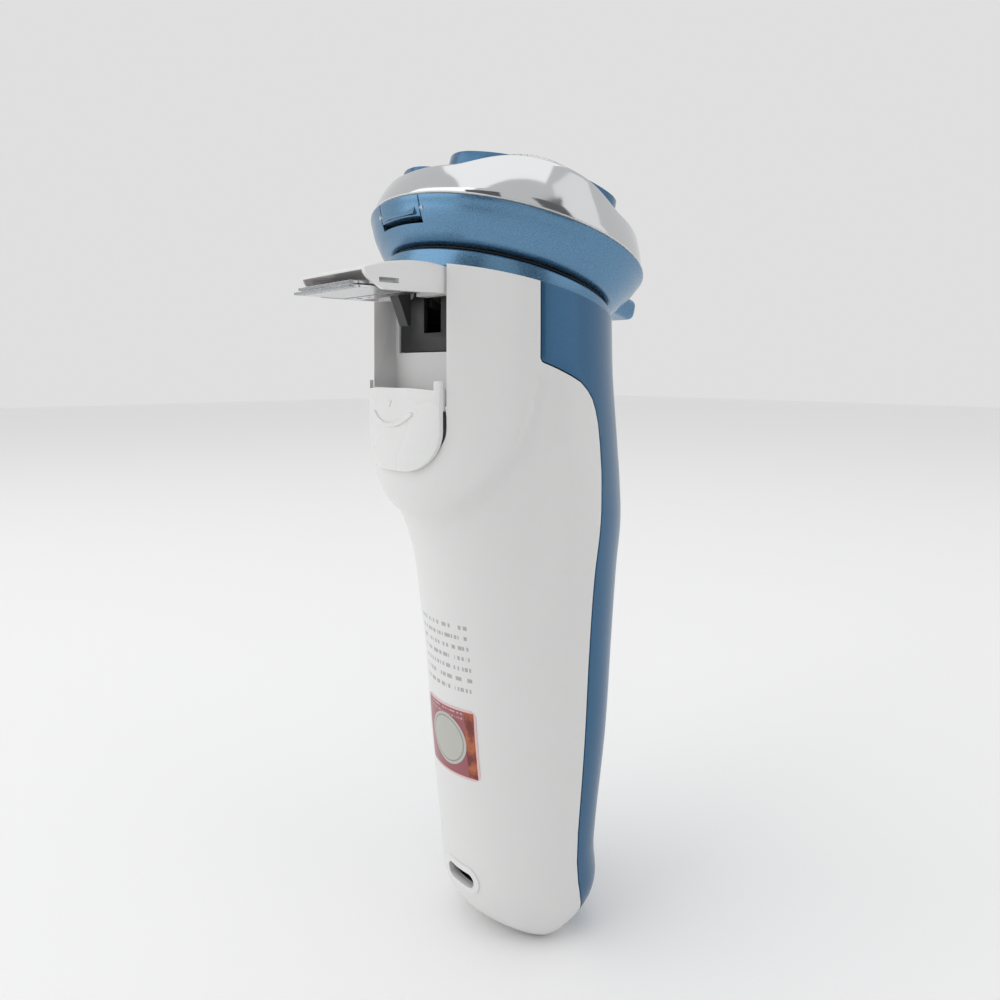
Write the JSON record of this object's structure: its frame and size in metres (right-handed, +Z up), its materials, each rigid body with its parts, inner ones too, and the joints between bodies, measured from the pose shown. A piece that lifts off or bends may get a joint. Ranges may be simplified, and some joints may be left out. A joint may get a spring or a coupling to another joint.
{
  "type": "electric shaver",
  "caption": "Cordless rotary shaver with a tilted round head of floating cutters, a hinged pop-out trimmer at the rear, a release slider and a charging port.",
  "frame": {"origin": "centre line of the handle at the flat of its foot", "axes": "+Z up along the handle, -Y to the front with the power button, +Y to the rear with the trimmer, X across"},
  "size_m": [0.0668, 0.0846, 0.1781],
  "materials": {
    "white_shell": "satin white moulded plastic",
    "blue_shell": "metallic blue moulded plastic",
    "blue_head": "lighter metallic blue moulded plastic",
    "chrome": "bright plated",
    "steel": "brushed",
    "silver_trim": "silver lacquer",
    "black_plastic": "fine matt",
    "label_plum": "printed film",
    "label_silver": "printed silver film",
    "battery_green": "shrink sleeve",
    "board_green": "solder mask",
    "gear_ivory": "moulded",
    "lens_clear": "frosted",
    "seal_rubber": "matt"
  },
  "bodies": {
    "root": {"rear_shell": "white_shell", "front_shell": "blue_shell", "front_inlay": "silver_trim", "indicator_lens": "lens_clear", "rating_label": "label_plum", "label_disc": "label_silver", "chassis": "black_plastic", "battery": "battery_green", "circuit_board": "board_green", "charging_socket": "steel", "shell_screw_1": "steel", "shell_screw_2": "steel", "bay_panel": "black_plastic", "slider_spring": "steel", "neck_collar": "blue_head", "neck_seal": "seal_rubber", "gear_plate": "black_plastic", "motor": "steel", "head_bowl": "blue_head", "bowl_screw": "steel", "head_hinge_pin": "steel", "trimmer_pin": "steel"},
    "power_button": {"power_button": "silver_trim"},
    "trimmer_slider": {"trimmer_slider": "white_shell"},
    "trimmer": {"trimmer_housing": "white_shell", "trimmer_comb": "steel", "trimmer_base": "steel", "drive_lever": "black_plastic"},
    "trimmer_blade": {"trimmer_blade": "steel"},
    "release_button": {"release_button": "black_plastic"},
    "motor_drive": {"central_gear": "gear_ivory", "motor_shaft": "steel"},
    "drive_1": {"drive_gear_1": "gear_ivory", "drive_spindle_1": "black_plastic"},
    "drive_2": {"drive_gear_2": "gear_ivory", "drive_spindle_2": "black_plastic"},
    "drive_3": {"drive_gear_3": "gear_ivory", "drive_spindle_3": "black_plastic"},
    "shaving_unit": {"chrome_band": "chrome", "head_frame": "blue_head", "retaining_frame": "black_plastic"},
    "frame_knob": {"frame_knob": "black_plastic"},
    "head_1": {"head_cap_1": "blue_shell", "guard_1": "steel"},
    "cutter_1": {"cutter_1": "steel"},
    "head_2": {"head_cap_2": "blue_shell", "guard_2": "steel"},
    "cutter_2": {"cutter_2": "steel"},
    "head_3": {"head_cap_3": "blue_shell", "guard_3": "steel"},
    "cutter_3": {"cutter_3": "steel"}
  },
  "joints": [
    {"name": "power_button_press", "type": "slide", "parent": "root", "child": "power_button", "axis": [0, 1, 0], "range_m": [0, 0.0008], "stiffness_N_per_m": 500, "springref_m": -0.0006},
    {"name": "trimmer_slider_slide", "type": "slide", "parent": "root", "child": "trimmer_slider", "axis": [0, 0, -1], "range_m": [0, 0.003], "stiffness_N_per_m": 200, "springref_m": -0.002, "deforming": ["slider_spring"]},
    {"name": "trimmer_hinge", "type": "hinge", "parent": "root", "child": "trimmer", "pos_m": [0, 0.0257, 0.1499], "axis": [-1, 0, 0], "range_deg": [0, 90], "stiffness_Nm_per_rad": 0.004, "springref_deg": -34.38},
    {"name": "trimmer_blade_stroke", "type": "slide", "parent": "trimmer", "child": "trimmer_blade", "axis": [1, 0, 0], "range_m": [-0.0008, 0.0008], "stiffness_N_per_m": 100},
    {"name": "release_button_press", "type": "slide", "parent": "root", "child": "release_button", "axis": [0, 0.9588, 0.284], "range_m": [0, 0.0012], "stiffness_N_per_m": 400, "springref_m": -0.0008},
    {"name": "motor_spin", "type": "hinge", "parent": "root", "child": "motor_drive", "pos_m": [0, 0.003, 0.14465], "axis": [0, -0.284, 0.9588], "continuous": true},
    {"name": "drive_1_spin", "type": "hinge", "parent": "root", "child": "drive_1", "pos_m": [-0.01368, 0.01058, 0.14689], "axis": [0, -0.284, 0.9588], "continuous": true},
    {"name": "drive_2_spin", "type": "hinge", "parent": "root", "child": "drive_2", "pos_m": [0.01368, 0.01058, 0.14689], "axis": [0, -0.284, 0.9588], "continuous": true},
    {"name": "drive_3_spin", "type": "hinge", "parent": "root", "child": "drive_3", "pos_m": [0, -0.01214, 0.14016], "axis": [0, -0.284, 0.9588], "continuous": true},
    {"name": "shaving_unit_hinge", "type": "hinge", "parent": "root", "child": "shaving_unit", "pos_m": [0, 0.02882, 0.16523], "axis": [-1, 0, 0], "range_deg": [0, 105]},
    {"name": "frame_knob_turn", "type": "hinge", "parent": "shaving_unit", "child": "frame_knob", "pos_m": [0, -0.00126, 0.15903], "axis": [0, -0.284, 0.9588], "range_deg": [0, 90]},
    {"name": "head_1_float", "type": "slide", "parent": "shaving_unit", "child": "head_1", "axis": [0, 0.284, -0.9588], "range_m": [0, 0.0012], "stiffness_N_per_m": 400, "springref_m": -0.001},
    {"name": "head_2_float", "type": "slide", "parent": "shaving_unit", "child": "head_2", "axis": [0, 0.284, -0.9588], "range_m": [0, 0.0012], "stiffness_N_per_m": 400, "springref_m": -0.001},
    {"name": "head_3_float", "type": "slide", "parent": "shaving_unit", "child": "head_3", "axis": [0, 0.284, -0.9588], "range_m": [0, 0.0012], "stiffness_N_per_m": 400, "springref_m": -0.001},
    {"name": "cutter_1_spin", "type": "hinge", "parent": "head_1", "child": "cutter_1", "pos_m": [-0.01368, 0.00376, 0.1699], "axis": [0, -0.284, 0.9588], "continuous": true},
    {"name": "cutter_2_spin", "type": "hinge", "parent": "head_2", "child": "cutter_2", "pos_m": [0.01368, 0.00376, 0.1699], "axis": [0, -0.284, 0.9588], "continuous": true},
    {"name": "cutter_3_spin", "type": "hinge", "parent": "head_3", "child": "cutter_3", "pos_m": [0, -0.01896, 0.16317], "axis": [0, -0.284, 0.9588], "continuous": true}
  ],
  "couplings": [
    {"joint": "drive_1_spin", "follows": "motor_spin", "ratio": -1},
    {"joint": "drive_2_spin", "follows": "motor_spin", "ratio": -1},
    {"joint": "drive_3_spin", "follows": "motor_spin", "ratio": -1},
    {"joint": "cutter_1_spin", "follows": "motor_spin", "ratio": -1},
    {"joint": "cutter_2_spin", "follows": "motor_spin", "ratio": -1},
    {"joint": "cutter_3_spin", "follows": "motor_spin", "ratio": -1}
  ]
}
